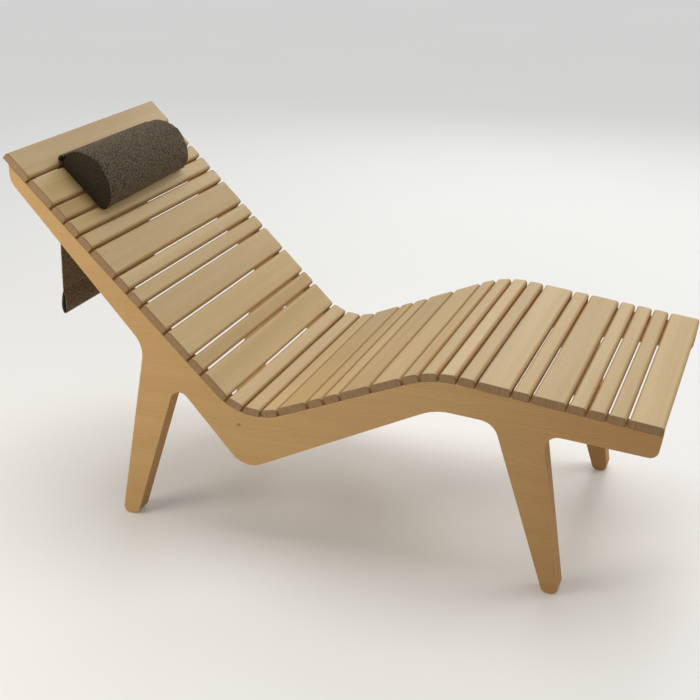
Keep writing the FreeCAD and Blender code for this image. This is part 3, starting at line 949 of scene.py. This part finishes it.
def make_pocket():
    """The folded hem, one layer thick and open at both ends."""
    foot_z = HANG[2] - FLAP_LENGTH - POCKET_HEIGHT
    outer = pocket_line(POCKET_HEIGHT, POCKET_HALF_WIDTH, foot_z, HEEL_RADIUS + LAYER)
    inner = pocket_line(POCKET_HEIGHT - 2 * LAYER, POCKET_HALF_WIDTH - LAYER, foot_z + LAYER,
                        HEEL_RADIUS)
    middle = (outer + inner) / 2
    count = len(outer)
    half = POCKET_LENGTH / 2
    straight = half - 2 * HEM_ROUNDING
    tip = half - HEM_ROUNDING * TIP_SHARE
    places = [-tip, *np.linspace(-straight, straight, POCKET_COLUMNS), tip]

    def drawn_in(line, share):
        return middle + (line - middle) * share

    # Rings along the outside and back along the inside
    cut_outer = drawn_in(outer, CUT_THICKNESS_SHARE)
    cut_inner = drawn_in(inner, CUT_THICKNESS_SHARE)
    rings = [(cut_outer, -half)]
    for y in places:
        at_tip = abs(y) > half - HEM_ROUNDING
        rings.append((drawn_in(outer, TIP_THICKNESS_SHARE if at_tip else 1.0), y))
    rings += [(cut_outer, half), (cut_inner, half)]
    rings += [(inner, y) for y in reversed(places)]
    rings.append((cut_inner, -half))
    points = [(x, y, z) for ring, y in rings for x, z in ring]
    faces = loop_faces(len(rings), count)
    last = (len(rings) - 1) * count
    faces += [(last + i, last + (i + 1) % count, (i + 1) % count, i) for i in range(count)]
    # The hem takes the flap's lighter copy of the fabric, painted light
    pocket = make_object("counterweight_hem_pocket", points, faces, [hanging_fabric_lit])
    outside = np.zeros(len(points), bool)
    outside[count:(len(places) + 1) * count] = True
    points = points_of(pocket)
    press = (1 - lumps(points, POCKET_SEED)) * HEM_LOOP_PRESS * outside
    points -= normals_of(pocket) * press[:, None]
    set_points(pocket, points)
    return pocket


pocket = make_pocket()
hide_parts("counterweight_pocket")
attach(pocket, "counterweight")
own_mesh(flap)


# Floor, light and camera

FLOOR_REACH = 30.0
DAYLIGHT = (0.93, 0.95, 1.0, 1)


def backdrop_share(tree, gain, ground):
    """Strength of a backdrop: more where it is seen or mirrored than where it gives light."""
    rays = tree.nodes.new("ShaderNodeLightPath").outputs
    share = rays["Is Camera Ray"]
    for other in ("Is Glossy Ray", "Is Transmission Ray"):
        larger = tree.nodes.new("ShaderNodeMath")
        larger.operation = "MAXIMUM"
        tree.links.new(share, larger.inputs[0])
        tree.links.new(rays[other], larger.inputs[1])
        share = larger.outputs[0]
    scaled = tree.nodes.new("ShaderNodeMath")
    scaled.operation = "MULTIPLY_ADD"
    tree.links.new(share, scaled.inputs[0])
    scaled.inputs[1].default_value = gain
    scaled.inputs[2].default_value = ground
    return scaled.outputs[0]


def make_floor():
    """Plain pale floor that is about as light as the photo's."""
    corners = [(-FLOOR_REACH, -FLOOR_REACH, 0), (FLOOR_REACH, -FLOOR_REACH, 0),
               (FLOOR_REACH, FLOOR_REACH, 0), (-FLOOR_REACH, FLOOR_REACH, 0)]
    floor = make_object("floor", corners, [(0, 1, 2, 3)], [])
    graph = Graph("floor_pale", roughness=0.35)
    cloud = graph.noise(graph.place(), scale=0.8)
    colour = graph.mix(cloud, srgb(FLOOR_STONE[0]), srgb(FLOOR_STONE[1]))
    graph.shader.inputs["Specular IOR Level"].default_value = 0.3
    graph.shader.inputs["Emission Color"].default_value = srgb(FLOOR_GLOW)
    seen = backdrop_share(graph.tree, gain=0.14, ground=0.0)
    floor.data.materials.append(graph.finish(Base_Color=colour, Emission_Strength=seen))


def make_world():
    world = bpy.data.worlds.new("studio")
    world.use_nodes = True
    background = world.node_tree.nodes["Background"]
    background.inputs["Color"].default_value = DAYLIGHT
    seen = backdrop_share(world.node_tree, gain=0.4, ground=0.19)
    world.node_tree.links.new(seen, background.inputs["Strength"])
    scene.world = world


def lamp(name, place, target, size, watts, colour=(1, 1, 1)):
    """Rectangular lamp that faces its target."""
    data = bpy.data.lights.new(name, "AREA")
    data.shape = "RECTANGLE"
    data.size, data.size_y = size
    data.energy = watts
    data.color = colour
    made = bpy.data.objects.new(name, data)
    made.location = place
    made.rotation_euler = (Vector(target) - Vector(place)).to_track_quat("-Z", "Y").to_euler()
    scene.collection.objects.link(made)


make_floor()
make_world()
lamp("window", place=(3.3, 1.9, 2.4), target=(0.0, 0, 0.4), size=(2.6, 2.2), watts=41,
     colour=(1.0, 0.99, 0.97))
lamp("window_far", place=(-0.4, 3.9, 2.5), target=(0.1, 0, 0.4), size=(2.6, 1.8), watts=31)
lamp("fill", place=(-2.0, -2.0, 1.4), target=(-0.6, 0, 0.5), size=(1.4, 1.4), watts=32,
     colour=(1.0, 0.93, 0.81))
sky = bpy.data.lights.new("ceiling", "SUN")
sky.energy = 1.42
sky.angle = math.radians(50)
above = bpy.data.objects.new("ceiling", sky)
above.rotation_euler = (math.radians(-14), 0, 0)
scene.collection.objects.link(above)

# The photo's camera, as it was fitted
CAMERA_PLACE = (0.98345, -2.8354, 1.5679)
CAMERA_HEADING = math.radians(19.881)
CAMERA_RISE = math.radians(-21.604)
CAMERA_ROLL = math.radians(0.435)
CAMERA_LENS = 66.03
SENSOR_WIDTH = 36.0
camera = bpy.data.objects.new("camera", bpy.data.cameras.new("camera"))
camera.data.lens = CAMERA_LENS
camera.data.sensor_width = SENSOR_WIDTH
turn = (Matrix.Rotation(CAMERA_HEADING, 4, "Z")
        @ Matrix.Rotation(math.pi / 2 + CAMERA_RISE, 4, "X")
        @ Matrix.Rotation(CAMERA_ROLL, 4, "Z"))
camera.matrix_world = Matrix.Translation(CAMERA_PLACE) @ turn
scene.collection.objects.link(camera)
scene.camera = camera

scene.view_settings.view_transform = "Standard"
